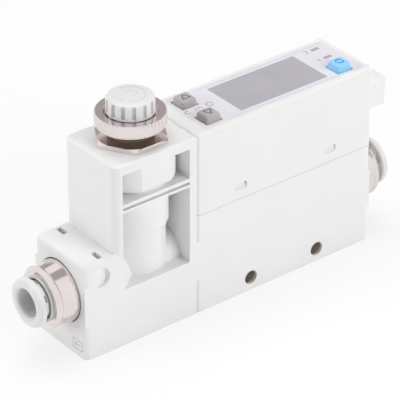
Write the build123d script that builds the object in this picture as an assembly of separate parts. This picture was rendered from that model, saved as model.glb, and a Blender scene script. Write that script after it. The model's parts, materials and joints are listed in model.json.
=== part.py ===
# Compact digital flow switch for air, with a needle valve and two one-touch tube fittings.
#
# Air enters the inlet fitting at +X, passes the sensor in the lower housing, then the needle
# valve, and leaves through the outlet fitting at -X. The two modules meet at JOINT_X.
# Millimetres. The origin is under the middle of the object, on the surface that it stands on.

import os
from math import cos, pi, radians, sin

from build123d import *

# Housing
WIDTH = 16.9
LENGTH = 75.3
HEIGHT = 42.2
SENSOR_LENGTH = 47.0
PARTING_Z = 23.5
CORNER_R = 1.1
GRIP_LOW_Z = 7.9
GRIP_HIGH_Z = 17.45
TOP_EDGE_R = 0.7
WALL = 1.2
LID = 1.4

# Snap hooks of the lower housing, which show in windows of the upper one
SNAP_OFFSETS = (11.5, 35.5)
SNAP_WIDTH = 3.0
SNAP_LOW_Z = 25.8
SNAP_HIGH_Z = 27.3
SNAP_DEPTH = 0.75
SNAP_GAP = 0.06
TONGUE = 1.0

# Valve module
BLOCK_LENGTH = 7.75
BLOCK_TOP_Z = 22.2
BLOCK_EDGE_R = 0.9
FRAME_CORNER_R = 1.65
FRAME_EDGE_R = 0.5
FRAME_WALL = 1.95
FRAME_POST = 1.8
TOP_PLATE = 2.2
SILL_Z = 13.3
WEB = 2.0
RIB_LEVELS = ((31.2, 31.8), (32.4, 33.2))
BARREL_R = 6.85
BARREL_WIDE_R = 7.45
BARREL_STEP_Z = 22.5
BOSS_R = 8.9
BOSS_FLAT_Y = 8.2
BOSS_BOTTOM_Z = 34.4
PASSAGE_WALL_R = 5.5
SCOOP_R = 2.1
SCOOP_Z = 18.4
SCOOP_TILT = 15.0

# Flow passage and fittings, with distances measured outwards from the housing's end face
FLOW_Z = 13.0
TUBE_R = 3.1
PASSAGE_R = 2.6
SOCKET_R = 5.95
SOCKET_FLOOR_R = 3.6
SPIGOT_R = 5.9
SPIGOT_DEPTH = 11.0
FLANGE_DEPTH = 1.2
FLANGE_R = 6.8
COLLAR_FACE = 5.15
COLLAR_R = 6.69
RIM_R = 5.95
LINER_R = 5.0
TIP = 8.55
LIP_R = 5.3
BUTTON_R = 3.92
NECK_R = 4.25
RELEASE_TRAVEL = 1.0
GUIDE_RING_FRONT = 5.6
CHUCK_R = 4.5
SEAL_R = 4.3

# Grooves of fittings and spigot: one for the seal ring, one for the retaining clip
SEAL_AT = 8.75
SEAL_WIDTH = 1.7
SEAL_GROOVE_R = 4.75
CLIP_AT = 4.9
CLIP_THICK = 1.1
CLIP_GAP = 0.05
CLIP_LOW_Y = 4.95
CLIP_HIGH_Y = 7.05
CLIP_GROOVE_R = 4.9
CLIP_TOP_Z = 21.0

# Needle valve, all on one upright axis
GUIDE_R = 5.15
GUIDE_BOTTOM_Z = 24.0
GUIDE_TOP_Z = 46.4
THREAD_R = 4.75
NUT_FLATS = 14.0
NUT_THICK = 1.1
RING_R = 7.35
RING_BOTTOM_Z = 45.25
RING_TOP_Z = 48.25
RING_TEETH = 52
TOOTH_DEPTH = 0.22
COUNTERBORE_R = 5.45
KNOB_R = 5.03
KNOB_BOTTOM_Z = 48.05
KNOB_TOP_Z = 51.8
KNOB_RIBS = 16
KNOB_GROOVE = 0.75
SPINDLE_R = 1.5
STEM_R = 1.9
NEEDLE_R = 2.4
NEEDLE_TIP_Z = 13.0
CHAMBER_R = 4.2
SUMP_R = 2.0
SUMP_BOTTOM_Z = 7.0
SEAT_R = 3.0
SEAT_LOW_Z = 12.0
SEAT_HIGH_Z = 14.0
ORIFICE_R = 1.3
RUNNING_GAP = 0.07

# Top panel, with places given as X from the joint face and Y
KEY = 4.0
KEY_PROUD = 1.1
KEY_CHAMFER = 0.45
KEY_TRAVEL = 0.3
KEY_GAP = 0.1
KEY_PLACES = {"up_key": (6.5, 3.8), "down_key": (6.5, -4.0), "set_key": (41.1, -4.2)}
LENS_LENGTH = 2.1
LENS_WIDTH = 1.0
LENS_PLACES = {"indicator_lens_1": (42.3, 0.9), "indicator_lens_2": (42.3, 5.1)}
DISPLAY_FROM_JOINT = 25.2
DISPLAY_LENGTH = 23.0
DISPLAY_WIDTH = 11.3
FILM = 0.2
FILM_MARGIN = 1.3
FILM_START = 3.2
FIT_GAP = 0.02

# Side holes
HOLE_PITCH = 18.0
HOLE_Z = 3.05
HOLE_R = 1.6
SLEEVE_WALL = 0.6
SLEEVE_SUNK = 0.7

# Boards, sensor and cable connector
BOARD = 1.0
MAIN_BOARD_Z = 28.4
DISPLAY_BOARD_Z = 37.0
POST_OFFSETS = (12.0, 37.0)
POST_R = 1.7
SCREW_R = 0.75
SENSOR_FROM_JOINT = 23.0
SENSOR_LEDGE_Z = 17.2
GASKET = 0.8
RECTIFIER_R = 4.45
RECTIFIER_HOLE_R = 0.9
PIN = 0.5
CONNECTOR_PROUD = 6.55
CONNECTOR_WIDTH = 10.0
CONNECTOR_LOW_Z = 29.7
CONNECTOR_HIGH_Z = 36.3
CONNECTOR_WALL = 0.6
CABLE_PIN_YS = (-3.0, -1.0, 1.0, 3.0)

# Places worked out from the dimensions above
HALF = WIDTH / 2
END_X = LENGTH / 2
JOINT_X = END_X - SENSOR_LENGTH
FRAME_X = BLOCK_LENGTH - END_X
WINDOW_LOW_X = FRAME_X + FRAME_WALL
WINDOW_HIGH_X = JOINT_X - FRAME_POST
WINDOW_TOP_Z = HEIGHT - TOP_PLATE
VALVE_X = JOINT_X - 10.1
SENSOR_MID_X = (JOINT_X + END_X) / 2
HOLE_XS = (SENSOR_MID_X - HOLE_PITCH / 2, SENSOR_MID_X + HOLE_PITCH / 2)
SNAP_XS = tuple(JOINT_X + offset for offset in SNAP_OFFSETS)
POST_XS = tuple(JOINT_X + offset for offset in POST_OFFSETS)
KEYS = {name: (JOINT_X + x, y) for name, (x, y) in KEY_PLACES.items()}
LENSES = {name: (JOINT_X + x, y) for name, (x, y) in LENS_PLACES.items()}
DISPLAY_X = JOINT_X + DISPLAY_FROM_JOINT
SENSOR_X = JOINT_X + SENSOR_FROM_JOINT
SENSOR_SCREWS = ((SENSOR_X - 4.4, -4.0), (SENSOR_X + 4.4, 4.0))
DISPLAY_FLOOR_Z = DISPLAY_BOARD_Z + BOARD
SKIRT_X = END_X - 6.0


def box(x0, x1, y0, y1, z0, z1):
    """A block between two corners."""
    centre = Pos((x0 + x1) / 2, (y0 + y1) / 2, (z0 + z1) / 2)
    return centre * Box(x1 - x0, y1 - y0, z1 - z0)


def mirrored_boxes(x0, x1, y0, y1, z0, z1):
    """The same block on both sides of the middle plane."""
    return box(x0, x1, y0, y1, z0, z1) + box(x0, x1, -y1, -y0, z0, z1)


def upright(radius, z0, z1, x=VALVE_X, y=0.0):
    """A cylinder standing on z0."""
    return Pos(x, y, (z0 + z1) / 2) * Cylinder(radius, z1 - z0)


def lying(radius, x0, x1, y=0.0, z=FLOW_Z):
    """A cylinder along X."""
    return Pos((x0 + x1) / 2, y, z) * Rot(0, 90, 0) * Cylinder(radius, x1 - x0)


def across(radius, reach, x, z):
    """A cylinder along Y, as far to one side as to the other."""
    return Pos(x, 0, z) * Rot(90, 0, 0) * Cylinder(radius, 2 * reach)


def turned_upright(points):
    """A turned piece on the valve's axis, from an outline of radius and height."""
    outline = Polyline(*[(r, 0, z) for r, z in points], close=True)
    return Pos(VALVE_X, 0, 0) * revolve(make_face(outline), Axis.Z)


def turned_lying(points):
    """A turned piece on the flow axis, from an outline of X and radius."""
    outline = Polyline(*[(x, 0, r) for x, r in points], close=True)
    return Pos(0, 0, FLOW_Z) * revolve(make_face(outline), Axis.X)


def fitting_piece(points, end):
    """A turned piece of a fitting, from distances out of the end face and radii."""
    return turned_lying([(end * (END_X + out), r) for out, r in points])


def washer(r_in, r_out, z0, z1):
    return turned_upright([(r_in, z0), (r_out, z0), (r_out, z1), (r_in, z1)])


def rounded_ends(shape, radius, ends=2):
    """Round the upright edges at a block's low end in X, or at both ends."""
    edges = shape.edges().filter_by(Axis.Z).sort_by(Axis.X)
    chosen = edges[:2] + (edges[-2:] if ends == 2 else [])
    return fillet(chosen, radius)


def socket(face_x, inward, flange):
    """The hole that a fitting or a spigot is pushed into."""
    floor = SPIGOT_DEPTH + 0.05
    steps = [(-0.5, SOCKET_R)]
    if flange:
        wide = FLANGE_R + 0.2
        steps = [(-0.5, wide), (FLANGE_DEPTH, wide), (FLANGE_DEPTH, SOCKET_R)]
    steps += [(floor, SOCKET_R), (floor, SOCKET_FLOOR_R), (floor + 0.9, SOCKET_FLOOR_R), (floor + 0.9, 0), (-0.5, 0)]
    return turned_lying([(face_x + inward * depth, r) for depth, r in steps])


def clip_slots(x, top_z):
    """The two slots and the groove underneath that take one retaining clip."""
    half = CLIP_THICK / 2 + CLIP_GAP
    high_y = CLIP_HIGH_Y + 0.1
    cut = box(x - half, x + half, -high_y, high_y, -1, 2.9)
    return cut + mirrored_boxes(x - half, x + half, CLIP_LOW_Y - 0.4, high_y, -1, top_z + 1)


def retaining_clip(x):
    """A stamped fork that straddles the groove of a fitting or spigot."""
    half = CLIP_THICK / 2
    clip = box(x - half, x + half, -CLIP_HIGH_Y, CLIP_HIGH_Y, 0.4, CLIP_TOP_Z)
    clip -= box(x - 1, x + 1, -CLIP_LOW_Y, CLIP_LOW_Y, 2.6, CLIP_TOP_Z + 1)
    corners = clip.edges().filter_by(Axis.X).group_by(Axis.Z)[0]
    return fillet(corners, 0.8)


def scoop(side):
    """The shallow C-shaped scoop on the side of the end block, deep at its front edge."""
    tilt = Rot(side * 90, 0, 0) * Rot(0, -SCOOP_TILT, 0)
    return Pos(FRAME_X - 3.2, side * (HALF + 1.45), SCOOP_Z) * tilt * Cylinder(SCOOP_R, 4.0)


def socket_dome():
    """The rounded back of the outlet socket, which runs on into the flow passage's wall."""
    start = FRAME_X - 1.0
    shoulder_x = FRAME_X + 0.9
    tail_x = FRAME_X + 4.9
    front = Polyline((start, 0, 0), (start, 0, HALF), (shoulder_x, 0, HALF))
    shoulder = ThreePointArc((shoulder_x, 0, HALF), (FRAME_X + 3.5, 0, 7.45), (tail_x, 0, 6.2))
    tail = Polyline((tail_x, 0, 6.2), (tail_x + 1.1, 0, PASSAGE_WALL_R), (JOINT_X, 0, PASSAGE_WALL_R),
                    (JOINT_X, 0, 0), (start, 0, 0))
    dome = Pos(0, 0, FLOW_Z) * revolve(make_face(front + shoulder + tail), Axis.X)
    return dome & box(-END_X, JOINT_X, -HALF, HALF, 1, HEIGHT)


def valve_barrel():
    """The barrel of the needle valve, with its step and the wide boss under the top plate."""
    root_z = SILL_Z - 5
    top_z = WINDOW_TOP_Z + 0.5
    barrel = turned_upright([
        (0, root_z), (BARREL_R, root_z), (BARREL_R, BARREL_STEP_Z),
        (BARREL_WIDE_R, BARREL_STEP_Z + 1.1), (BARREL_WIDE_R, BOSS_BOTTOM_Z),
        (BOSS_R, BOSS_BOTTOM_Z), (BOSS_R, top_z), (0, top_z),
    ])
    return barrel & box(WINDOW_LOW_X - 1, WINDOW_HIGH_X + 1, -BOSS_FLAT_Y, BOSS_FLAT_Y, 0, HEIGHT)


def round_groove(x, width, groove_r):
    """The tool that turns a groove into a spigot, centred on x."""
    return (lying(SPIGOT_R + 1, x - width / 2, x + width / 2)
            - lying(groove_r, x - width / 2, x + width / 2))


def spigot():
    """The valve module's spigot, which plugs into the sensor module like a fitting."""
    body = lying(SPIGOT_R, JOINT_X - 1, JOINT_X + SPIGOT_DEPTH)
    body -= round_groove(JOINT_X + SEAL_AT, SEAL_WIDTH, SEAL_GROOVE_R)
    return body - round_groove(JOINT_X + CLIP_AT, CLIP_THICK + 2 * CLIP_GAP, CLIP_GROOVE_R)


def slanted_bore(start, end, radius):
    """A bore between two points of the middle plane, given as X and Z."""
    path = Line((start[0], 0, start[1]), (end[0], 0, end[1]))
    section = Plane(origin=path @ 0, z_dir=path % 0) * Circle(radius)
    return extrude(section, path.length)


def valve_cavities():
    """Everything that is hollow in the valve body: sockets, chamber, seat pocket, bores."""
    cut = upright(GUIDE_R + 0.1, GUIDE_BOTTOM_Z, HEIGHT + 1)
    cut += upright(CHAMBER_R, SEAT_HIGH_Z, GUIDE_BOTTOM_Z + 0.1)
    cut += upright(SEAT_R + 0.05, SEAT_LOW_Z, SEAT_HIGH_Z + 0.1)
    cut += upright(SUMP_R, SUMP_BOTTOM_Z, SEAT_LOW_Z + 0.1)
    cut += socket(-END_X, 1, True)
    cut += slanted_bore((SPIGOT_DEPTH - END_X + 0.5, FLOW_Z + 1), (VALVE_X, 17.0), 2.0)
    cut += lying(PASSAGE_R, JOINT_X - 1.6, JOINT_X + SPIGOT_DEPTH + 1)
    cut += slanted_bore((JOINT_X - 1.2, FLOW_Z), (VALVE_X + 0.5, SUMP_BOTTOM_Z + 1.3), 1.8)
    return cut


def valve_body():
    """End block, open frame, ribs, barrel and spigot, moulded as one piece."""
    block = rounded_ends(box(-END_X, JOINT_X, -HALF, HALF, 0, BLOCK_TOP_Z), CORNER_R, ends=1)
    block = fillet(block.edges().group_by(Axis.Z)[-1].sort_by(Axis.X)[:-1], BLOCK_EDGE_R)
    grip = box(-END_X, JOINT_X, -HALF, HALF, GRIP_LOW_Z, GRIP_HIGH_Z)
    frame = rounded_ends(box(FRAME_X, JOINT_X, -HALF, HALF, SILL_Z, HEIGHT), FRAME_CORNER_R, ends=1)
    frame = fillet(frame.edges().group_by(Axis.Z)[-1], FRAME_EDGE_R)
    body = block + grip + frame
    body -= mirrored_boxes(WINDOW_LOW_X, WINDOW_HIGH_X, WEB / 2, HALF + 1, SILL_Z, WINDOW_TOP_Z)
    for low, high in RIB_LEVELS:
        body += box(WINDOW_LOW_X - 0.5, WINDOW_HIGH_X + 0.5, -HALF, HALF, low, high)
    body += socket_dome()
    body += valve_barrel()
    body += spigot()
    body -= valve_cavities()
    body -= clip_slots(CLIP_AT - END_X, BLOCK_TOP_Z)
    for side in (-1, 1):
        body -= scoop(side)
    return body


def snap_hook(x, side):
    """A tongue with a wedge, flush with the wall at its foot and sunk at its top."""
    half = SNAP_WIDTH / 2 - SNAP_GAP
    outer = HALF - FIT_GAP
    inner = HALF - WALL - FIT_GAP
    low = SNAP_LOW_Z + SNAP_GAP
    high = SNAP_HIGH_Z - SNAP_GAP
    outline = Polyline(
        (inner - TONGUE, PARTING_Z - 0.5), (inner, PARTING_Z - 0.5), (inner, low), (outer, low),
        (outer - SNAP_DEPTH, high), (inner, high), (inner - TONGUE, high), close=True)
    hook = extrude(make_face(Plane.YZ * outline), half, both=True)
    if side < 0:
        hook = mirror(hook, Plane.XZ)
    return Pos(x, 0, 0) * hook


def sensor_body():
    """Lower housing of the sensor module, with a socket at each end and the flow passage."""
    body = rounded_ends(box(JOINT_X, END_X, -HALF, HALF, 0, PARTING_Z), CORNER_R)
    body += box(JOINT_X, END_X, -HALF, HALF, GRIP_LOW_Z, GRIP_HIGH_Z)
    body -= socket(JOINT_X, 1, False)
    body -= socket(END_X, -1, True)
    rectifier_end = END_X - SPIGOT_DEPTH
    body -= lying(RECTIFIER_R + 0.05, rectifier_end - 3.1, rectifier_end)
    body -= lying(SEAT_R, JOINT_X + SPIGOT_DEPTH, rectifier_end)
    body -= box(SENSOR_X - 2.5, SENSOR_X + 2.5, -2, 2, FLOW_Z, SENSOR_LEDGE_Z + 0.1)
    body -= box(SENSOR_X - 6, SENSOR_X + 6, -5.5, 5.5, SENSOR_LEDGE_Z, PARTING_Z + 1)
    for x in (JOINT_X + CLIP_AT, END_X - CLIP_AT):
        body -= clip_slots(x, PARTING_Z)
    for x in HOLE_XS:
        body -= across(HOLE_R, HALF + 1, x, HOLE_Z)
        body -= across(HOLE_R + SLEEVE_WALL, HALF - SLEEVE_SUNK, x, HOLE_Z)
    for x in POST_XS:
        post = upright(POST_R, PARTING_Z - 0.5, MAIN_BOARD_Z, x)
        body += post - upright(SCREW_R + 0.05, PARTING_Z + 1, MAIN_BOARD_Z + 1, x)
    for x in SNAP_XS:
        body += snap_hook(x, -1) + snap_hook(x, 1)
    return body


def panel_openings(low, high):
    """The openings of the top for keys, indicators and display."""
    opening = KEY + 2 * KEY_GAP
    cut = display_block(low, high, 0)
    for x, y in KEYS.values():
        cut += box(x - opening / 2, x + opening / 2, y - opening / 2, y + opening / 2, low, high)
    for x, y in LENSES.values():
        cut += lens_block(x, y, low, high, 0)
    return cut


def upper_housing():
    """Upper shell of the sensor module, open underneath."""
    shell = rounded_ends(box(JOINT_X, END_X, -HALF, HALF, PARTING_Z, HEIGHT), CORNER_R)
    shell = fillet(shell.edges().group_by(Axis.Z)[-1], TOP_EDGE_R)
    inner = HALF - WALL
    shell -= box(JOINT_X + WALL, END_X - WALL, -inner, inner, PARTING_Z - 1, HEIGHT - LID)
    shell -= film_outline(HEIGHT - FILM, HEIGHT + 1)
    shell -= panel_openings(HEIGHT - LID - 1, HEIGHT + 1)
    half = CONNECTOR_WIDTH / 2
    shell -= box(END_X - 3, END_X + 1, -half, half, CONNECTOR_LOW_Z, CONNECTOR_HIGH_Z)
    for x in SNAP_XS:
        window_x = SNAP_WIDTH / 2
        shell -= mirrored_boxes(x - window_x, x + window_x, inner - 1, HALF + 1, SNAP_LOW_Z, SNAP_HIGH_Z)
    return shell


def film_outline(low, high):
    """The area of the printed sheet on top."""
    half = HALF - FILM_MARGIN
    sheet = box(JOINT_X + FILM_START, END_X - FILM_MARGIN, -half, half, low, high)
    return fillet(sheet.edges().filter_by(Axis.Z), 0.8)


def display_block(low, high, inset):
    """A block the size of the display opening, or smaller by an inset."""
    long = DISPLAY_LENGTH / 2 - inset
    wide = DISPLAY_WIDTH / 2 - inset
    return box(DISPLAY_X - long, DISPLAY_X + long, -wide, wide, low, high)


def lens_block(x, y, low, high, inset):
    """A block the size of an indicator's opening, or smaller by an inset."""
    long = LENS_LENGTH / 2 - inset
    wide = LENS_WIDTH / 2 - inset
    return box(x - long, x + long, y - wide, y + wide, low, high)


def panel_sheet():
    return film_outline(HEIGHT - FILM, HEIGHT) - panel_openings(HEIGHT - 1, HEIGHT + 1)


def display_window():
    return display_block(HEIGHT - LID, HEIGHT - FIT_GAP, FIT_GAP)


def display_module():
    """The display glass in its frame, wider than its window."""
    body = display_block(DISPLAY_FLOOR_Z, HEIGHT - LID, -0.8)
    return chamfer(body.edges().group_by(Axis.Z)[-1], 0.4)


def key(x, y):
    """A key cap with a chamfered top, and a flange under the lid that keeps it in."""
    cap = Pos(x, y, HEIGHT) * Box(KEY, KEY, 2 * KEY_PROUD)
    cap = chamfer(cap.edges().group_by(Axis.Z)[-1], KEY_CHAMFER)
    half = KEY / 2
    brim = half + 0.5
    flange_top = HEIGHT - LID - 0.3
    cap += box(x - half, x + half, y - half, y + half, flange_top, HEIGHT)
    return cap + box(x - brim, x + brim, y - brim, y + brim, flange_top - 0.5, flange_top)


def indicator_lens(x, y):
    """A light pipe from its lamp on the board up to the sheet."""
    return lens_block(x, y, DISPLAY_FLOOR_Z + 0.7, HEIGHT - FIT_GAP, FIT_GAP)


def indicator_leds():
    return [lens_block(x, y, DISPLAY_FLOOR_Z, DISPLAY_FLOOR_Z + 0.65, 0.15) for x, y in LENSES.values()]


def key_switches():
    """The three switches under the keys, each a case with a round plunger."""
    plunger_top = HEIGHT - LID - 0.8 - KEY_TRAVEL - KEY_GAP
    switches = []
    for x, y in KEYS.values():
        case = box(x - 1.6, x + 1.6, y - 1.6, y + 1.6, DISPLAY_FLOOR_Z, DISPLAY_FLOOR_Z + 0.9)
        switches.append(case + upright(0.8, DISPLAY_FLOOR_Z + 0.8, plunger_top, x, y))
    return switches


def board(margin, z):
    """A circuit board that fills the housing's length up to a margin."""
    half = HALF - WALL - 0.4
    plate = box(JOINT_X + margin, END_X - margin, -half, half, z, z + BOARD)
    return fillet(plate.edges().filter_by(Axis.Z), 0.6)


def main_board():
    plate = board(1.7, MAIN_BOARD_Z)
    for x in POST_XS:
        plate -= upright(SCREW_R + 0.15, MAIN_BOARD_Z - 1, MAIN_BOARD_Z + 2, x)
    return plate


def board_screws():
    """Pan-head screws that hold the main board on its posts."""
    top = MAIN_BOARD_Z + BOARD
    return [upright(SCREW_R, PARTING_Z + 1.2, top + 0.2, x) + upright(2 * SCREW_R, top, top + 0.9, x)
            for x in POST_XS]


def header_pins():
    """The row of pins that joins the main board to the display board."""
    pins = []
    for place in range(6):
        x = JOINT_X + 17 + 1.5 * place
        pins.append(box(x, x + PIN, 5.2, 5.2 + PIN, MAIN_BOARD_Z + BOARD, DISPLAY_BOARD_Z))
    return pins


def controller_chip():
    low = MAIN_BOARD_Z + BOARD
    chip = box(JOINT_X + 19, JOINT_X + 26, -4.5, 2.5, low, low + 1.0)
    return chamfer(chip.edges().group_by(Axis.Z)[-1], 0.15)


def connector_shell():
    """The cable connector's housing, with an open mouth at its far end and a key slot."""
    half = CONNECTOR_WIDTH / 2
    mouth = END_X + CONNECTOR_PROUD
    shell = box(SKIRT_X, mouth, -half, half, CONNECTOR_LOW_Z, CONNECTOR_HIGH_Z)
    shell = fillet(shell.edges().filter_by(Axis.X), 0.4)
    shell += box(SKIRT_X, END_X - 1.5, -half, half, MAIN_BOARD_Z + BOARD, CONNECTOR_LOW_Z + 1)
    inside = half - CONNECTOR_WALL
    shell -= box(END_X + 0.8, mouth + 1, -inside, inside,
                 CONNECTOR_LOW_Z + CONNECTOR_WALL, CONNECTOR_HIGH_Z - CONNECTOR_WALL)
    shell -= box(mouth - 3.5, mouth + 1, -1.0, 1.0, CONNECTOR_HIGH_Z - 1, CONNECTOR_HIGH_Z + 1)
    for pin in connector_pins():
        shell -= pin
    return shell


def connector_pins():
    """Square contact pins of the cable connector."""
    low = CONNECTOR_LOW_Z + 1.05
    return [box(END_X - 1.5, END_X + CONNECTOR_PROUD - 1.8, y - PIN / 2, y + PIN / 2, low, low + PIN)
            for y in CABLE_PIN_YS]


def mount_sleeve(x):
    """Brass sleeve moulded into a side hole."""
    return across(HOLE_R + SLEEVE_WALL, HALF - SLEEVE_SUNK, x, HOLE_Z) - across(HOLE_R, HALF, x, HOLE_Z)


def flow_rectifier():
    """A disc with a ring of holes that steadies the flow before the sensor."""
    start = END_X - SPIGOT_DEPTH - 3.0
    disc = lying(RECTIFIER_R, start, start + 2.8) - lying(RECTIFIER_HOLE_R, start - 1, start + 4)
    for place in range(6):
        angle = place * pi / 3
        y = 2.6 * cos(angle)
        z = FLOW_Z + 2.6 * sin(angle)
        disc -= lying(RECTIFIER_HOLE_R, start - 1, start + 4, y, z)
    return disc


def sensor_board():
    """The board that carries the flow sensor chip, face down over the passage."""
    low = SENSOR_LEDGE_Z + GASKET
    plate = box(SENSOR_X - 5.8, SENSOR_X + 5.8, -5.3, 5.3, low, low + BOARD)
    for x, y in SENSOR_SCREWS:
        plate -= upright(0.8, low - 1, low + 2, x, y)
    return plate + box(SENSOR_X - 1.5, SENSOR_X + 1.5, -1.0, 1.0, SENSOR_LEDGE_Z, low + 0.1)


def sensor_gasket():
    """A flat gasket between the sensor board and its ledge."""
    low = SENSOR_LEDGE_Z
    gasket = box(SENSOR_X - 3.6, SENSOR_X + 3.6, -3.1, 3.1, low, low + GASKET)
    return gasket - box(SENSOR_X - 2.5, SENSOR_X + 2.5, -2, 2, low - 1, low + 2)


def sensor_screws():
    """Two small screws that press the sensor board onto its gasket."""
    top = SENSOR_LEDGE_Z + GASKET + BOARD
    return [upright(0.7, SENSOR_LEDGE_Z + 0.1, top + 0.2, x, y) + upright(1.3, top, top + 0.8, x, y)
            for x, y in SENSOR_SCREWS]


def sensor_pins():
    """The pins that carry the sensor's signal up to the main board."""
    low = SENSOR_LEDGE_Z + GASKET + BOARD
    return [box(SENSOR_X + x, SENSOR_X + x + 0.4, 4.2, 4.6, low, MAIN_BOARD_Z)
            for x in (-3.2, -2.0, -0.8, 0.4)]


def needle_guide():
    """Brass guide with a bore for the needle, a threaded neck and an O-ring groove."""
    bore = NEEDLE_R + 0.08
    stem_bore = STEM_R + RUNNING_GAP
    shoulder = HEIGHT - 0.4
    return turned_upright([
        (bore, GUIDE_BOTTOM_Z), (GUIDE_R, GUIDE_BOTTOM_Z), (GUIDE_R, 25.2), (4.3, 25.2), (4.3, 26.8),
        (GUIDE_R, 26.8), (GUIDE_R, shoulder), (THREAD_R, shoulder), (THREAD_R, GUIDE_TOP_Z - 0.4),
        (THREAD_R - 0.4, GUIDE_TOP_Z), (stem_bore, GUIDE_TOP_Z), (stem_bore, 34.0), (bore, 34.0),
    ])


def guide_nut():
    """Thin hexagonal nut on the neck, with chamfered corners."""
    blank = extrude(RegularPolygon(NUT_FLATS / 2, 6, major_radius=False), NUT_THICK)
    corner = NUT_FLATS / 2 / cos(radians(30))
    top = HEIGHT + NUT_THICK
    chamfered = turned_upright([
        (0, HEIGHT), (corner - 0.25, HEIGHT), (corner - 0.1, HEIGHT + 0.2), (corner - 0.1, top - 0.45),
        (corner - 0.8, top), (0, top),
    ])
    return (Pos(VALVE_X, 0, HEIGHT) * blank & chamfered) - upright(THREAD_R + 0.03, HEIGHT - 1, HEIGHT + 2)


def lock_ring():
    """Knurled ring on the neck, with a counterbore that the knob sits in."""
    points = []
    for tooth in range(2 * RING_TEETH):
        radius = RING_R - TOOTH_DEPTH * (tooth % 2)
        angle = tooth * pi / RING_TEETH
        points.append((radius * cos(angle), radius * sin(angle)))
    knurled = extrude(make_face(Polyline(*points, close=True)), RING_TOP_Z - RING_BOTTOM_Z)
    bore = THREAD_R + RUNNING_GAP
    edge = RING_R - 0.3
    floor = GUIDE_TOP_Z - 0.1
    turned = turned_upright([
        (bore, RING_BOTTOM_Z), (edge, RING_BOTTOM_Z), (RING_R, RING_BOTTOM_Z + 0.3),
        (RING_R, RING_TOP_Z - 0.25), (edge, RING_TOP_Z), (COUNTERBORE_R, RING_TOP_Z),
        (COUNTERBORE_R, floor), (bore, floor),
    ])
    return Pos(VALVE_X, 0, RING_BOTTOM_Z) * knurled & turned


def knob():
    """White knob with wide ribs, a low skirt and a domed top."""
    shoulder = KNOB_TOP_Z - 0.75
    crown_r = KNOB_R - 1.1
    crown_z = KNOB_TOP_Z - 0.05
    bore = SPINDLE_R + 0.06
    wall = Polyline((bore, 0, KNOB_BOTTOM_Z), (KNOB_R, 0, KNOB_BOTTOM_Z), (KNOB_R, 0, shoulder))
    dome = ThreePointArc((KNOB_R, 0, shoulder), (KNOB_R - 0.3, 0, KNOB_TOP_Z - 0.32), (crown_r, 0, crown_z))
    top = Polyline((crown_r, 0, crown_z), (0, 0, KNOB_TOP_Z), (0, 0, KNOB_TOP_Z - 1.1),
                   (bore, 0, KNOB_TOP_Z - 1.1), (bore, 0, KNOB_BOTTOM_Z))
    body = revolve(make_face(wall + dome + top), Axis.Z)
    half = KNOB_GROOVE / 2
    groove = box(KNOB_R - 0.4, KNOB_R + 1, -half, half, KNOB_BOTTOM_Z + 0.4, KNOB_BOTTOM_Z + 3.4)
    for place in range(KNOB_RIBS):
        body -= Rot(0, 0, (place + 0.5) * 360 / KNOB_RIBS) * groove
    return Pos(VALVE_X, 0, 0) * body


def needle():
    """The needle: a cone for the orifice, a sealed body, a threaded stem and a spindle."""
    spindle_top = KNOB_TOP_Z - 1.2
    return turned_upright([
        (0, NEEDLE_TIP_Z), (0.5, NEEDLE_TIP_Z), (STEM_R, 17.67), (NEEDLE_R, 18.6), (NEEDLE_R, 25.9),
        (1.7, 25.9), (1.7, 27.5), (NEEDLE_R, 27.5), (NEEDLE_R, 31.0), (STEM_R, 31.4), (STEM_R, 47.0),
        (SPINDLE_R, 47.2), (SPINDLE_R, spindle_top), (0, spindle_top),
    ])


def valve_seat():
    """The seat ring, with a chamfered orifice."""
    return turned_upright([
        (ORIFICE_R, SEAT_LOW_Z), (SEAT_R, SEAT_LOW_Z), (SEAT_R, SEAT_HIGH_Z),
        (ORIFICE_R + 0.5, SEAT_HIGH_Z), (ORIFICE_R, SEAT_HIGH_Z - 0.5),
    ])


def sleeve(end):
    """Plated sleeve of a fitting: spigot, grooves, flared body and collar."""
    seal_half = SEAL_WIDTH / 2
    clip_half = CLIP_THICK / 2 + CLIP_GAP
    wall = TUBE_R + FIT_GAP
    return fitting_piece([
        (-SPIGOT_DEPTH, 2.2), (-SPIGOT_DEPTH, SPIGOT_R), (-SEAL_AT - seal_half, SPIGOT_R),
        (-SEAL_AT - seal_half, SEAL_GROOVE_R), (-SEAL_AT + seal_half, SEAL_GROOVE_R),
        (-SEAL_AT + seal_half, SPIGOT_R), (-CLIP_AT - clip_half, SPIGOT_R),
        (-CLIP_AT - clip_half, CLIP_GROOVE_R), (-CLIP_AT + clip_half, CLIP_GROOVE_R),
        (-CLIP_AT + clip_half, SPIGOT_R), (-FLANGE_DEPTH, SPIGOT_R), (-FLANGE_DEPTH, FLANGE_R),
        (0.6, FLANGE_R), (3.7, 6.35), (4.05, COLLAR_R - 0.04), (4.35, COLLAR_R), (COLLAR_FACE, RIM_R),
        (COLLAR_FACE, LINER_R), (0.6, LINER_R), (0.6, 4.6), (-3.0, 4.6), (-3.0, SEAL_R), (-5.5, SEAL_R),
        (-5.5, wall), (-9.2, wall), (-9.2, 2.2),
    ], end)


def guide_ring(end):
    """White ring pressed into the mouth of the sleeve, wide enough for the button's neck."""
    outer = LINER_R - FIT_GAP
    wide = NECK_R + 0.1
    return fitting_piece([
        (0.65, 4.0), (0.65, outer), (GUIDE_RING_FRONT, outer), (GUIDE_RING_FRONT, 4.6),
        (GUIDE_RING_FRONT - 0.3, wide), (4.0, wide), (3.7, 4.0),
    ], end)


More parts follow.
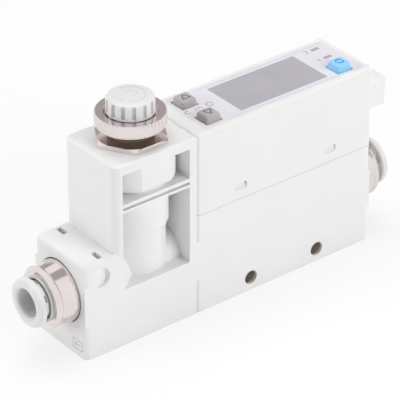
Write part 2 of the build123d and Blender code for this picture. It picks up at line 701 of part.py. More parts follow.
def release_button(end):
    """Button of a fitting: a tube with a barb inside, windows in its neck and a rounded lip."""
    lip_back = GUIDE_RING_FRONT + RELEASE_TRAVEL + 0.2
    body = fitting_piece([
        (-0.5, TUBE_R), (-0.5, 4.3), (0.0, 4.3), (0.4, BUTTON_R), (5.2, BUTTON_R), (5.9, NECK_R),
        (lip_back, NECK_R), (lip_back, LINER_R), (lip_back + 0.25, LIP_R), (7.9, LIP_R), (8.3, 5.1),
        (TIP, 4.6), (TIP, 3.7), (8.2, 3.25), (7.7, TUBE_R),
    ], end)
    window = Pos(end * (END_X + 6.3), NECK_R, 0) * Box(0.9, 1.2, 1.5)
    for place in range(6):
        body -= Pos(0, 0, FLOW_Z) * Rot(60 * place + 30, 0, 0) * window
    return body


def chuck(end):
    """Toothed grip ring: a thin cone with slits that bites on the tube."""
    tooth_r = TUBE_R + 0.05
    ring = fitting_piece([
        (-1.7, CHUCK_R), (-1.7, 4.1), (-2.75, tooth_r), (-2.95, tooth_r), (-2.95, 3.6), (-2.1, CHUCK_R),
    ], end)
    slit = Pos(end * (END_X - 2.5), 3.2, 0) * Box(0.9, 1.2, 0.5)
    for place in range(8):
        ring -= Pos(0, 0, FLOW_Z) * Rot(45 * place, 0, 0) * slit
    return ring


def tube_seal(end):
    """Lip seal that closes on the tube."""
    outer = SEAL_R - 0.03
    lip_r = TUBE_R + 0.05
    return fitting_piece([
        (-5.45, lip_r), (-5.45, outer), (-3.1, outer), (-3.1, 3.9), (-3.9, 3.6), (-3.3, lip_r),
    ], end)


def seal_ring(x):
    """The O-ring of a fitting or of the joint, centred on x, as an eight-sided section."""
    low = SEAL_GROOVE_R + 0.05
    high = SOCKET_R - 0.03
    half = SEAL_WIDTH / 2 - 0.15
    corner = 0.3
    return turned_lying([
        (x - half, low + corner), (x - half + corner, low), (x + half - corner, low), (x + half, low + corner),
        (x + half, high - corner), (x + half - corner, high), (x - half + corner, high),
        (x - half, high - corner),
    ])


def fitting_parts(name, end):
    """Every piece of one fitting, by node name."""
    return {
        name + "_sleeve": sleeve(end),
        name + "_guide_ring": guide_ring(end),
        name + "_release_button": release_button(end),
        name + "_chuck": chuck(end),
        name + "_tube_seal": tube_seal(end),
        name + "_o_ring": seal_ring(end * (END_X - SEAL_AT)),
        name + "_clip": retaining_clip(end * (END_X - CLIP_AT)),
    }


def all_parts():
    parts = {
        "valve_body": valve_body(),
        "sensor_body": sensor_body(),
        "upper_housing": upper_housing(),
        "panel_sheet": panel_sheet(),
        "display_window": display_window(),
        "display_module": display_module(),
        "display_board": board(2.0, DISPLAY_BOARD_Z),
        "key_switches": key_switches(),
        "indicator_leds": indicator_leds(),
        "main_board": main_board(),
        "board_screws": board_screws(),
        "header_pins": header_pins(),
        "controller_chip": controller_chip(),
        "connector_shell": connector_shell(),
        "connector_pins": connector_pins(),
        "flow_rectifier": flow_rectifier(),
        "sensor_board": sensor_board(),
        "sensor_gasket": sensor_gasket(),
        "sensor_screws": sensor_screws(),
        "sensor_pins": sensor_pins(),
        "needle_guide": needle_guide(),
        "guide_nut": guide_nut(),
        "guide_o_ring": washer(4.35, GUIDE_R + 0.05, 25.3, 26.7),
        "lock_ring": lock_ring(),
        "knob": knob(),
        "needle": needle(),
        "needle_o_ring": washer(1.75, NEEDLE_R + 0.04, 26.0, 27.4),
        "valve_seat": valve_seat(),
        "joint_o_ring": seal_ring(JOINT_X + SEAL_AT),
        "joint_clip": retaining_clip(JOINT_X + CLIP_AT),
    }
    for name, (x, y) in KEYS.items():
        parts[name] = key(x, y)
    for name, (x, y) in LENSES.items():
        parts[name] = indicator_lens(x, y)
    for name, x in zip(("near_mount_sleeve", "far_mount_sleeve"), HOLE_XS):
        parts[name] = mount_sleeve(x)
    parts.update(fitting_parts("outlet", -1))
    parts.update(fitting_parts("inlet", 1))
    return parts


os.makedirs("parts", exist_ok=True)
for node, shape in all_parts().items():
    if isinstance(shape, list):
        shape = Compound(children=shape)
    export_step(shape, "parts/" + node + ".step")
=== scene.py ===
# Looks of a compact digital flow switch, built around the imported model, in metres.

import json
import math

import bpy
from mathutils import Matrix, Vector

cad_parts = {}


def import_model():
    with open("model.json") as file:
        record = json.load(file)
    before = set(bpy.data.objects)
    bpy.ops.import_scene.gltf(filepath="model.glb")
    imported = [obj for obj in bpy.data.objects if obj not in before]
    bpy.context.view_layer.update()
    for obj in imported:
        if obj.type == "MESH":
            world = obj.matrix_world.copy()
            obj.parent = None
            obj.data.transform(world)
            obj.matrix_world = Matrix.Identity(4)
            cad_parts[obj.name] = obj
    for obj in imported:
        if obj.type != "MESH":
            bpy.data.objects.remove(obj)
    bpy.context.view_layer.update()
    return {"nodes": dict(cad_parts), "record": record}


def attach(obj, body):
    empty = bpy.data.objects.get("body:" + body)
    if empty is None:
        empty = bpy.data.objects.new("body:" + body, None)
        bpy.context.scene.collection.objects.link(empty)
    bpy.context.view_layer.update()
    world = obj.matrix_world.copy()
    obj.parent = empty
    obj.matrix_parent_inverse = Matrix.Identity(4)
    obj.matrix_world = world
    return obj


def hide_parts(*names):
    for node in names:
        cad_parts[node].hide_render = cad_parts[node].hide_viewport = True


MM = 0.001

# Camera, solved from the photograph
CAMERA_AZIMUTH = math.radians(38.44)
CAMERA_ELEVATION = math.radians(31.471)
CAMERA_ROLL = math.radians(0.129)
CAMERA_DISTANCE = 0.555
CAMERA_TARGET = Vector((-1.827 * MM, 0, 20.586 * MM))
CAMERA_LENS = 241.55
SENSOR_WIDTH = 36.0

# Colours as linear values
PLASTIC = (0.86, 0.86, 0.855)
FILM = (0.80, 0.785, 0.83)
WINDOW = (0.47, 0.455, 0.50)
KEY_GREY = (0.46, 0.44, 0.43)
KEY_BLUE = (0.30, 0.66, 0.98)
LENS = (0.46, 0.44, 0.47)
NICKEL = (0.78, 0.72, 0.712)
# The neck's nickel darkened as painted shade, standing in for its dark reflections between the nut and
# the ring
SHADED_NECK_NICKEL = (0.15, 0.11, 0.085)
BRASS = (0.88, 0.81, 0.72)
STEEL = (0.62, 0.62, 0.61)
RUBBER = (0.02, 0.02, 0.02)
KNOB = (0.80, 0.79, 0.80)
RELEASE = (0.78, 0.78, 0.775)
BOARD = (0.02, 0.16, 0.07)
BLACK = (0.03, 0.03, 0.035)
TIN = (0.72, 0.66, 0.52)
INK_DARK = (0.05, 0.045, 0.045)
# Grey for printed marks, and also the painted shadow of the parting line's gap
INK_AND_SHADOW_GREY = (0.46, 0.43, 0.45)
INK_LILAC = (0.68, 0.665, 0.73)
INK_SLATE = (0.30, 0.31, 0.40)
INK_BLUE = (0.02, 0.16, 0.55)
FLOOR = (0.93, 0.93, 0.93)
CARD = (0.46, 0.415, 0.41)

# Light on the object, and what is seen behind it
WORLD_LIGHT = 0.22
FLOOR_GLOW = 0.72
FLOOR_SIDE = 6.0
LIGHTS_AIM = Vector((0, 0, 0.02))
LIGHTS = {  # place, side, power in watts
    "key_light": ((0.35, -0.85, 0.45), 0.6, 5.4),
    "left_light": ((-0.85, 0.35, 0.30), 0.5, 3.7),
    "top_light": ((0.1, 0.2, 1.0), 0.8, 6.3),
}
CARDS_AIM = Vector((0, 0, 0.03))
CARDS = {  # place, width and height
    "back_card": ((0.45, 0.56, 0.36), (1.0, 0.36)),
    "high_card": ((0.45, -0.02, 0.70), (0.50, 0.86)),
}

# Places on the object, in millimetres
END_X = 37.65
HALF_WIDTH = 8.45
JOINT_X = -9.35
CORNER_R = 1.1
PARTING_Z = 23.5
PARTING_HALF_WIDTH = 0.04
TOP_Z = 42.2
VALVE_X = -19.45
KEYS = {"up_key": (-2.85, 3.8), "down_key": (-2.85, -4.0), "set_key": (31.75, -4.2)}
KEY_BODIES = {"up_key": "up_button", "down_key": "down_button", "set_key": "set_button"}
KEY_SIDE = 3.9
KEY_PROUD = 1.55
KEY_TAPER_STEPS = 6
DIGIT_X = 30.65
DIGIT_YS = {"1": 0.9, "2": 5.1}
DIGIT_SIZE = 1.9
NECK_R = 4.75
NECK_LOW_Z = 43.3
NECK_HIGH_Z = 45.0
THREAD_PITCH = 0.46
THREAD_SIDES = 72
RING_R = 7.35
RING_BORE_R = 4.82
RING_LOW_Z = 45.25
RING_HIGH_Z = 48.25
RING_FLOOR_Z = 46.3
COUNTERBORE_R = 5.45
RING_TEETH = 48
TOOTH_DEPTH = 0.34
TOOTH_FOOT_DEPTH = 0.13
KNOB_R = 5.03
KNOB_LOW_Z = 48.05
KNOB_HIGH_Z = 51.8
KNOB_GROOVES = 14
KNOB_GROOVE_DEPTH = 0.62
KNOB_GROOVE_HALF_WIDTH = 0.5
KNOB_TURN = math.radians(9.8)
SPINDLE_R = 1.56

# Widths of printed lines, and how far they stand off the surface, in millimetres
LINE = 0.2
FINE_LINE = 0.16
BOLD_LINE = 0.26
PRINT_LIFT = 0.012
KEY_MARK_LIFT = 0.02


def new_material(name):
    """A new material, its node tree and its shader."""
    material = bpy.data.materials.new(name)
    material.use_nodes = True
    tree = material.node_tree
    return material, tree, tree.nodes["Principled BSDF"]


def object_coordinates(tree, scale):
    """Coordinates in the object's own space, in metres times a scale."""
    place = tree.nodes.new("ShaderNodeTexCoord")
    mapping = tree.nodes.new("ShaderNodeMapping")
    mapping.inputs["Scale"].default_value = (scale, scale, scale)
    tree.links.new(place.outputs["Object"], mapping.inputs["Vector"])
    return mapping.outputs["Vector"]


def noise(tree, scale, detail=3.0):
    """A noise value over the object."""
    texture = tree.nodes.new("ShaderNodeTexNoise")
    texture.inputs["Scale"].default_value = 1.0
    texture.inputs["Detail"].default_value = detail
    tree.links.new(object_coordinates(tree, scale), texture.inputs["Vector"])
    return texture.outputs["Fac"]


def spread(tree, value, low, high):
    """The noise value stretched to run from low to high."""
    stretch = tree.nodes.new("ShaderNodeMapRange")
    stretch.inputs["From Min"].default_value = 0.3
    stretch.inputs["From Max"].default_value = 0.7
    stretch.inputs["To Min"].default_value = low
    stretch.inputs["To Max"].default_value = high
    tree.links.new(value, stretch.inputs["Value"])
    return stretch.outputs["Result"]


def tint(tree, colour, value, amount):
    """A colour that gets a little darker and lighter with a noise value."""
    mix = tree.nodes.new("ShaderNodeMix")
    mix.data_type = "RGBA"
    dark = [c * (1 - amount) for c in colour]
    light = [min(1.0, c * (1 + amount)) for c in colour]
    mix.inputs["A"].default_value = (*dark, 1)
    mix.inputs["B"].default_value = (*light, 1)
    tree.links.new(spread(tree, value, 0.0, 1.0), mix.inputs["Factor"])
    return mix.outputs["Result"]


def add_bump(tree, shader, height, depth):
    """Fine relief of a depth in metres."""
    bump = tree.nodes.new("ShaderNodeBump")
    bump.inputs["Distance"].default_value = depth
    bump.inputs["Strength"].default_value = 1.0
    tree.links.new(height, bump.inputs["Height"])
    tree.links.new(bump.outputs["Normal"], shader.inputs["Normal"])


def moulded(name, colour, roughness, grain=0.006 * MM, variation=0.012, subsurface=0.0):
    """Moulded plastic: a fine grain, slightly uneven gloss and colour."""
    material, tree, shader = new_material(name)
    broad = noise(tree, 90.0)
    fine = noise(tree, 5200.0, 2.0)
    tree.links.new(tint(tree, colour, broad, variation), shader.inputs["Base Color"])
    tree.links.new(spread(tree, broad, roughness - 0.04, roughness + 0.04), shader.inputs["Roughness"])
    if subsurface:
        shader.inputs["Subsurface Weight"].default_value = subsurface
        shader.inputs["Subsurface Radius"].default_value = (1.0, 0.9, 0.8)
        shader.inputs["Subsurface Scale"].default_value = 0.6 * MM
    add_bump(tree, shader, fine, grain)
    return material


def metal(name, colour, roughness, grain, variation=0.03):
    """Plated or turned metal with fine unevenness in its gloss."""
    material, tree, shader = new_material(name)
    broad = noise(tree, 260.0)
    fine = noise(tree, 2600.0, 4.0)
    shader.inputs["Metallic"].default_value = 1.0
    tree.links.new(tint(tree, colour, broad, variation), shader.inputs["Base Color"])
    tree.links.new(spread(tree, fine, roughness - 0.03, roughness + 0.05), shader.inputs["Roughness"])
    add_bump(tree, shader, fine, grain)
    return material


def ink(name, colour, roughness=0.5):
    """Printed or filled lines."""
    material, tree, shader = new_material(name)
    tree.links.new(tint(tree, colour, noise(tree, 900.0), 0.06), shader.inputs["Base Color"])
    shader.inputs["Roughness"].default_value = roughness
    return material


def make_materials():
    """The materials by the record's slot names, the neck's nickel darkened as painted shade, and the
    inks, one grey also painting the parting line's shadow.
    """
    return {
        "housing_plastic": moulded("housing_plastic", PLASTIC, 0.42, subsurface=0.08),
        "panel_film": moulded("panel_film", FILM, 0.30, grain=0.001 * MM),
        "display_tint": moulded("display_tint", WINDOW, 0.14, grain=0.0002 * MM, variation=0.05),
        "display_grey": moulded("display_grey", WINDOW, 0.4),
        "key_grey": moulded("key_grey", KEY_GREY, 0.5, grain=0.008 * MM, variation=0.04),
        "key_blue": moulded("key_blue", KEY_BLUE, 0.34, variation=0.03),
        "lens_dark": moulded("lens_dark", LENS, 0.2, grain=0.0005 * MM),
        "nickel": metal("nickel", NICKEL, 0.13, 0.0008 * MM),
        "neck_nickel_painted_shade": metal("neck_nickel_painted_shade", SHADED_NECK_NICKEL, 0.16, 0.0008 * MM),
        "brass": metal("brass", BRASS, 0.45, 0.002 * MM),
        "steel": metal("steel", STEEL, 0.3, 0.002 * MM),
        "seal_rubber": moulded("seal_rubber", RUBBER, 0.6),
        "knob_plastic": moulded("knob_plastic", KNOB, 0.33, grain=0.002 * MM, subsurface=0.1),
        "release_plastic": moulded("release_plastic", RELEASE, 0.36, grain=0.002 * MM, subsurface=0.2),
        "board_green": moulded("board_green", BOARD, 0.35, grain=0.003 * MM, variation=0.1),
        "part_black": moulded("part_black", BLACK, 0.5),
        "contact_tin": metal("contact_tin", TIN, 0.25, 0.001 * MM),
        "ink_dark": ink("ink_dark", INK_DARK),
        "ink_and_shadow_grey": ink("ink_and_shadow_grey", INK_AND_SHADOW_GREY),
        "ink_lilac": ink("ink_lilac", INK_LILAC),
        "ink_slate": ink("ink_slate", INK_SLATE),
        "ink_blue": ink("ink_blue", INK_BLUE),
    }


def dress_nodes(frame, materials):
    """Give every CAD node the material of its slot."""
    for part in frame["record"]["subparts"]:
        node = frame["nodes"][part["node"]]
        node.data.materials.clear()
        node.data.materials.append(materials[part["material_slot"]])


def add_piece(name, vertices, faces, material, body, smooth=0.0):
    """A mesh piece from millimetres, on its body, with its material."""
    mesh = bpy.data.meshes.new(name)
    mesh.from_pydata([tuple(MM * c for c in v) for v in vertices], [], faces)
    mesh.validate()
    piece = bpy.data.objects.new(name, mesh)
    bpy.context.scene.collection.objects.link(piece)
    if smooth:
        mesh.shade_smooth()
        mesh.set_sharp_from_angle(angle=smooth)
    mesh.materials.append(material)
    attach(piece, body)
    return piece


def lofted(rings, closed=False):
    """Faces between rings of equal length, joined in order, and the last to the first if closed."""
    count = len(rings[0])
    vertices = [point for ring in rings for point in ring]
    faces = []
    for level in range(len(rings) if closed else len(rings) - 1):
        low = level * count
        high = (level + 1) % len(rings) * count
        for i in range(count):
            j = (i + 1) % count
            faces.append((low + i, low + j, high + j, high + i))
    return vertices, faces


def toothed_ring(stations, radius, z, depth):
    """A ring round the valve's axis, pulled in at each station by its share of a depth."""
    points = []
    for angle, share in stations:
        reach = radius - depth * share
        points.append((VALVE_X + reach * math.cos(angle), reach * math.sin(angle), z))
    return points


def toothed_solid(stations, levels, closed=False):
    """Faces through toothed rings, each level being a radius, a height and a tooth depth."""
    return lofted([toothed_ring(stations, radius, z, depth) for radius, z, depth in levels], closed)


def make_knob(material):
    """The white knob: straight ribs between deep grooves over a low skirt, and a domed top."""
    half = KNOB_GROOVE_HALF_WIDTH / KNOB_R
    pitch = 2 * math.pi / KNOB_GROOVES
    stations = []
    for groove in range(KNOB_GROOVES):
        middle = KNOB_TURN + groove * pitch
        stations += [(middle - half, 0.0), (middle - 0.8 * half, 1.0), (middle + 0.8 * half, 1.0),
                     (middle + half, 0.0)]
        for step in (0.3, 0.5, 0.7):
            stations.append((middle + half + step * (pitch - 2 * half), 0.0))
    levels = [
        (SPINDLE_R, 50.7, 0.0), (SPINDLE_R, KNOB_LOW_Z, 0.0), (KNOB_R - 0.1, KNOB_LOW_Z, 0.0),
        (KNOB_R, 48.15, 0.0), (KNOB_R, 48.42, 0.0), (KNOB_R - 0.02, 48.5, KNOB_GROOVE_DEPTH),
        (KNOB_R - 0.03, 50.85, 0.9 * KNOB_GROOVE_DEPTH), (KNOB_R - 0.1, 51.15, 0.2),
        (KNOB_R - 0.3, 51.42, 0.0), (KNOB_R - 0.65, 51.62, 0.0), (KNOB_R - 1.1, 51.73, 0.0),
        (1.2, KNOB_HIGH_Z - 0.01, 0.0), (0.02, KNOB_HIGH_Z - 0.01, 0.0),
    ]
    vertices, faces = toothed_solid(stations, levels)
    knob = add_piece("ribbed_knob", vertices, faces, material, "flow_knob", math.radians(35))
    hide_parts("knob")


def make_lock_ring(material):
    """The knurled ring: V-shaped teeth, deepest just below the chamfer of its top."""
    pitch = 2 * math.pi / RING_TEETH
    stations = []
    for tooth in range(RING_TEETH):
        middle = tooth * pitch
        stations += [(middle, 1.0), (middle + 0.45 * pitch, 0.0), (middle + 0.55 * pitch, 0.0)]
    levels = [
        (RING_BORE_R, RING_LOW_Z, 0.0), (RING_R - 0.45, RING_LOW_Z, 0.0),
        (RING_R - 0.2, RING_LOW_Z + 0.2, 0.0), (RING_R - 0.2, RING_LOW_Z + 0.35, 0.0),
        (RING_R, RING_LOW_Z + 0.5, TOOTH_FOOT_DEPTH), (RING_R, RING_HIGH_Z - 0.8, TOOTH_FOOT_DEPTH),
        (RING_R, RING_HIGH_Z - 0.3, TOOTH_DEPTH), (RING_R - 0.2, RING_HIGH_Z, 0.1),
        (RING_R - 0.32, RING_HIGH_Z, 0.0), (COUNTERBORE_R + 0.12, RING_HIGH_Z, 0.0),
        (COUNTERBORE_R, RING_HIGH_Z - 0.12, 0.0), (COUNTERBORE_R, RING_FLOOR_Z, 0.0),
        (RING_BORE_R, RING_FLOOR_Z, 0.0),
    ]
    vertices, faces = toothed_solid(stations, levels, closed=True)
    ring = add_piece("knurled_lock_ring", vertices, faces, material, "knurled_ring",
                     math.radians(12))
    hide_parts("lock_ring")


def make_neck_thread(material):
    """Thread ridges on the neck, between the nut and the ring, in nickel darkened as painted shade."""
    stations = [(2 * math.pi * i / THREAD_SIDES, 0.0) for i in range(THREAD_SIDES)]
    root = NECK_R + 0.02
    crest = NECK_R + 0.14
    levels = [(NECK_R - 0.05, NECK_LOW_Z - 0.1, 0.0)]
    z = NECK_LOW_Z
    while z < NECK_HIGH_Z:
        levels += [(root, z, 0.0), (crest, z + 0.19, 0.0), (crest, z + 0.25, 0.0), (root, z + 0.44, 0.0)]
        z += THREAD_PITCH
    levels.append((NECK_R - 0.05, z, 0.0))
    vertices, faces = toothed_solid(stations, levels)
    add_piece("neck_thread", vertices, faces, material, "housing", math.radians(25))


def rounded_square(x, y, side, radius, z, steps=6):
    """The points of a rounded square round a centre."""
    points = []
    reach = side / 2 - radius
    for quarter in range(4):
        middle = math.pi / 4 + quarter * math.pi / 2
        corner_x = x + math.copysign(reach, math.cos(middle))
        corner_y = y + math.copysign(reach, math.sin(middle))
        for i in range(steps + 1):
            angle = quarter * math.pi / 2 + i * math.pi / 2 / steps
            points.append((corner_x + radius * math.cos(angle), corner_y + radius * math.sin(angle), z))
    return points


def make_keys(materials):
    """Tapered key caps with soft edges, standing in their openings."""
    top = TOP_Z + KEY_PROUD
    levels = [(KEY_SIDE, 0.5, TOP_Z - 1.9), (KEY_SIDE, 0.5, TOP_Z), (KEY_SIDE - 0.1, 0.55, TOP_Z + 0.35)]
    for step in range(KEY_TAPER_STEPS + 1):
        turn = step * math.pi / 2 / KEY_TAPER_STEPS
        levels.append((2.6 + 1.0 * math.cos(turn), 0.62, top - 0.5 + 0.5 * math.sin(turn)))
    levels.append((1.0, 0.3, top + 0.01))
    for node, (x, y) in KEYS.items():
        rings = [rounded_square(x, y, side, radius, z) for side, radius, z in levels]
        vertices, faces = lofted(rings)
        last = len(vertices) - len(rings[0])
        faces.append(tuple(range(last, len(vertices))))
        slot = "key_blue" if node == "set_key" else "key_grey"
        cap = add_piece(node + "_cap", vertices, faces, materials[slot], KEY_BODIES[node],
                        math.radians(40))
        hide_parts(node)


def stroke(points, width, lift, place):
    """A flat line through points of a plane; place turns its x, y and lift into millimetres."""
    last = len(points) - 1
    vertices = []
    for i, (x, y) in enumerate(points):
        before = points[max(i - 1, 0)]
        after = points[min(i + 1, last)]
        along = math.atan2(after[1] - before[1], after[0] - before[0])
        across_x = -math.sin(along) * width / 2
        across_y = math.cos(along) * width / 2
        vertices.append(place(x + across_x, y + across_y, lift))
        vertices.append(place(x - across_x, y - across_y, lift))
    faces = [(2 * i, 2 * i + 1, 2 * i + 3, 2 * i + 2) for i in range(last)]
    return vertices, faces


def polygon(corners, width, lift, place):
    """One stroke for each side of a polygon."""
    return [stroke([corner, corners[(i + 1) % len(corners)]], width, lift, place)
            for i, corner in enumerate(corners)]


def arc(x, y, radius, start, end, steps=20):
    """Points of an arc, with its angles in degrees."""
    points = []
    for i in range(steps + 1):
        angle = math.radians(start + (end - start) * i / steps)
        points.append((x + radius * math.cos(angle), y + radius * math.sin(angle)))
    return points


def on_level(z):
    """The place function of a level plane."""
    return lambda x, y, lift: (x, y, z + lift)


def add_print(name, strokes, material, body):
    """Several strokes as one flat piece."""
    vertices = []
    faces = []
    for stroke_vertices, stroke_faces in strokes:
        start = len(vertices)
        vertices += stroke_vertices
        faces += [tuple(start + i for i in face) for face in stroke_faces]
    add_piece(name, vertices, faces, material, body)


def make_key_marks(materials):
    """A triangle on each grey key, and two turning arcs on the blue one."""
    level = on_level(TOP_Z + KEY_PROUD)
    for node, tip in (("up_key", 1), ("down_key", -1)):
        x, y = KEYS[node]
        corners = [(x - 0.95, y - 0.75 * tip), (x + 0.95, y - 0.75 * tip), (x, y + 0.95 * tip)]
        add_print(node + "_mark", polygon(corners, LINE, KEY_MARK_LIFT, level), materials["ink_dark"],
                  KEY_BODIES[node])
    x, y = KEYS["set_key"]
    marks = [stroke(arc(x, y, 0.78, start, start + 150), BOLD_LINE, KEY_MARK_LIFT, level)
             for start in (200, 20)]
    add_print("set_key_mark", marks, materials["ink_blue"], "set_button")


def make_panel_print(materials):
    """Printed lines, small marks and the numbers beside the indicators."""
    level = on_level(TOP_Z)
    lines = [stroke([(1.5, y), (36.0, y)], LINE, PRINT_LIFT, level) for y in (-6.55, 6.55)]
    add_print("panel_border_print", lines, materials["ink_lilac"], "housing")
    outlines = [arc(0.95, 0.45, 0.75, 0, 330), [(-1.0, 0.1), (-1.6, 0.9), (-2.1, 0.1)],
                [(-2.6, 0.9), (-2.6, 0.1), (-3.1, 0.1)], arc(-4.7, 0.4, 0.55, 40, 300)]
    marks = [stroke(points, LINE, PRINT_LIFT, level) for points in outlines]
    add_print("panel_mark_print", marks, materials["ink_slate"], "housing")
    for digit, y in DIGIT_YS.items():
        text = bpy.data.curves.new("digit_" + digit, "FONT")
        text.body = digit
        text.size = DIGIT_SIZE * MM
        text.align_x = "CENTER"
        text.align_y = "CENTER"
        shown = bpy.data.objects.new("digit_" + digit, text)
        bpy.context.scene.collection.objects.link(shown)
        bpy.context.view_layer.update()
        mesh = bpy.data.meshes.new_from_object(shown)
        bpy.data.objects.remove(shown)
        piece = bpy.data.objects.new("digit_" + digit, mesh)
        bpy.context.scene.collection.objects.link(piece)
        piece.location = (DIGIT_X * MM, y * MM, (TOP_Z + PRINT_LIFT) * MM)
        mesh.materials.clear()
        mesh.materials.append(materials["ink_slate"])
        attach(piece, "housing")


def make_knob_marks(material):
    """An open ring, a hook and two small strokes on top of the knob."""
    level = on_level(KNOB_HIGH_Z)
    x = VALVE_X
    marks = [stroke(arc(x, 0, 3.07, -130, 95, 40), FINE_LINE, 0.0, level),
             stroke(arc(x + 0.4, 0.2, 1.25, -100, 150, 24), 0.18, 0.0, level),
             stroke([(x - 3.6, 0.9), (x - 2.3, 1.5), (x - 2.9, 0.1)], 0.22, 0.0, level),
             stroke([(x - 3.4, -1.2), (x - 2.2, -0.6)], 0.22, 0.0, level)]
    add_print("knob_marks", marks, material, "flow_knob")


def make_parting_line_shadow(material):
    """A thin grey band round the sensor module where its two mouldings meet, painted as the shadow of
    the gap between them.
    """
    reach = CORNER_R + PRINT_LIFT
    points = []
    far_x = END_X - CORNER_R
    near_x = JOINT_X + CORNER_R
    side_y = HALF_WIDTH - CORNER_R
    corners = [(far_x, side_y), (near_x, side_y), (near_x, -side_y), (far_x, -side_y)]
    for quarter, (corner_x, corner_y) in enumerate(corners):
        for i in range(7):
            angle = quarter * math.pi / 2 + i * math.pi / 12
            points.append((corner_x + reach * math.cos(angle), corner_y + reach * math.sin(angle)))
    heights = (PARTING_Z - PARTING_HALF_WIDTH, PARTING_Z + PARTING_HALF_WIDTH)
    vertices, faces = lofted([[(x, y, z) for x, y in points] for z in heights])
    add_piece("parting_line_shadow", vertices, faces, material, "housing")


def make_face_mark(material):
    """A small framed arrow on the end face of the valve body."""
    def place(y, z, lift):
        return (-END_X - lift, y, z)
    marks = polygon([(-7.2, 1.6), (-4.0, 1.6), (-4.0, 3.7), (-7.2, 3.7)], FINE_LINE, PRINT_LIFT, place)
    marks += [stroke([(-6.7, 2.65), (-4.6, 2.65)], FINE_LINE, PRINT_LIFT, place),
              stroke([(-5.3, 3.2), (-4.6, 2.65), (-5.3, 2.1)], FINE_LINE, PRINT_LIFT, place)]
    add_print("end_face_mark", marks, material, "housing")


def make_camera():
    """The photograph's camera."""
    flat = math.cos(CAMERA_ELEVATION)
    back = Vector((-math.sin(CAMERA_AZIMUTH) * flat, -math.cos(CAMERA_AZIMUTH) * flat,
                   math.sin(CAMERA_ELEVATION)))
    data = bpy.data.cameras.new("camera")
    data.lens = CAMERA_LENS
    data.sensor_width = SENSOR_WIDTH
    data.clip_start = 0.01
    data.clip_end = 20.0
    camera = bpy.data.objects.new("camera", data)
    bpy.context.scene.collection.objects.link(camera)
    forward = -back
    right = forward.cross(Vector((0, 0, 1))).normalized()
    up = right.cross(forward)
    turn = math.cos(CAMERA_ROLL)
    lean = math.sin(CAMERA_ROLL)
    right, up = turn * right + lean * up, -lean * right + turn * up
    matrix = Matrix((right, up, back)).transposed().to_4x4()
    matrix.translation = CAMERA_TARGET + back * CAMERA_DISTANCE
    camera.matrix_world = matrix
    bpy.context.scene.camera = camera


def area_light(name, place, side, power):
    """A square lamp that reflections don't see."""
    data = bpy.data.lights.new(name, "AREA")
    data.shape = "RECTANGLE"
    data.size = side
    data.size_y = side
    data.energy = power
    light = bpy.data.objects.new(name, data)
    bpy.context.scene.collection.objects.link(light)
    light.location = place
    light.rotation_mode = "QUATERNION"
    light.rotation_quaternion = (LIGHTS_AIM - Vector(place)).to_track_quat("-Z", "Y")
    light.visible_glossy = False


def seen_directly(tree):
    """A value of 1 for camera, glossy and transmission rays, and 0 for the light on the object."""
    path = tree.nodes.new("ShaderNodeLightPath")
    total = path.outputs["Is Camera Ray"]
    for ray in ("Is Glossy Ray", "Is Transmission Ray"):
        add = tree.nodes.new("ShaderNodeMath")
        add.operation = "MAXIMUM"
        tree.links.new(total, add.inputs[0])
        tree.links.new(path.outputs[ray], add.inputs[1])
        total = add.outputs["Value"]
    return total


def make_world():
    """Even soft light, with a white background for what is seen directly."""
    world = bpy.data.worlds.new("studio")
    bpy.context.scene.world = world
    world.use_nodes = True
    tree = world.node_tree
    background = tree.nodes["Background"]
    background.inputs["Color"].default_value = (1, 1, 1, 1)
    strength = tree.nodes.new("ShaderNodeMapRange")
    strength.inputs["To Min"].default_value = WORLD_LIGHT
    strength.inputs["To Max"].default_value = 1.0
    tree.links.new(seen_directly(tree), strength.inputs["Value"])
    tree.links.new(strength.outputs["Result"], background.inputs["Strength"])


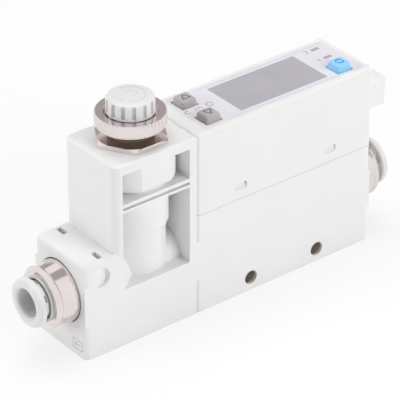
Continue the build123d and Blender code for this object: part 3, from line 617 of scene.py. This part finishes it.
def make_floor():
    """A plain pale floor that keeps a light shadow."""
    bpy.ops.mesh.primitive_plane_add(size=FLOOR_SIDE, location=(0, 0, -0.02 * MM))
    floor = bpy.context.object
    floor.name = "floor"
    material, tree, shader = new_material("floor")
    shader.inputs["Base Color"].default_value = (*FLOOR, 1)
    shader.inputs["Roughness"].default_value = 0.9
    glow = tree.nodes.new("ShaderNodeEmission")
    glow.inputs["Strength"].default_value = 1.0
    mix = tree.nodes.new("ShaderNodeMixShader")
    share = tree.nodes.new("ShaderNodeMath")
    share.operation = "MULTIPLY"
    share.inputs[1].default_value = FLOOR_GLOW
    tree.links.new(seen_directly(tree), share.inputs[0])
    tree.links.new(share.outputs["Value"], mix.inputs["Fac"])
    tree.links.new(shader.outputs["BSDF"], mix.inputs[1])
    tree.links.new(glow.outputs["Emission"], mix.inputs[2])
    tree.links.new(mix.outputs["Shader"], tree.nodes["Material Output"].inputs["Surface"])
    floor.data.materials.append(material)


def make_lights():
    """The lamps, all aimed at the object."""
    for name, (place, side, power) in LIGHTS.items():
        area_light(name, place, side, power)


def make_card(name, place, size):
    """A dark card that only reflections see."""
    bpy.ops.mesh.primitive_plane_add(size=1.0)
    card = bpy.context.object
    card.name = name
    card.scale = (size[0], size[1], 1.0)
    card.location = place
    card.rotation_mode = "QUATERNION"
    card.rotation_quaternion = (CARDS_AIM - Vector(place)).to_track_quat("Z", "Y")
    material, tree, _ = new_material(name)
    glow = tree.nodes.new("ShaderNodeEmission")
    glow.inputs["Color"].default_value = (*CARD, 1)
    tree.links.new(glow.outputs["Emission"], tree.nodes["Material Output"].inputs["Surface"])
    card.data.materials.append(material)
    card.visible_camera = False
    card.visible_diffuse = False
    card.visible_shadow = False
    card.visible_transmission = False


def make_cards():
    """Cards behind and above, which give the plated parts their depth."""
    for name, (place, size) in CARDS.items():
        make_card(name, place, size)


def main():
    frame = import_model()
    bpy.context.scene.view_settings.view_transform = "Standard"
    materials = make_materials()
    dress_nodes(frame, materials)
    make_camera()
    make_world()
    make_floor()
    make_lights()
    make_cards()
    make_knob(materials["knob_plastic"])
    make_knob_marks(materials["ink_lilac"])
    make_lock_ring(materials["nickel"])
    make_neck_thread(materials["neck_nickel_painted_shade"])
    make_keys(materials)
    make_key_marks(materials)
    make_panel_print(materials)
    make_parting_line_shadow(materials["ink_and_shadow_grey"])
    make_face_mark(materials["ink_and_shadow_grey"])


main()
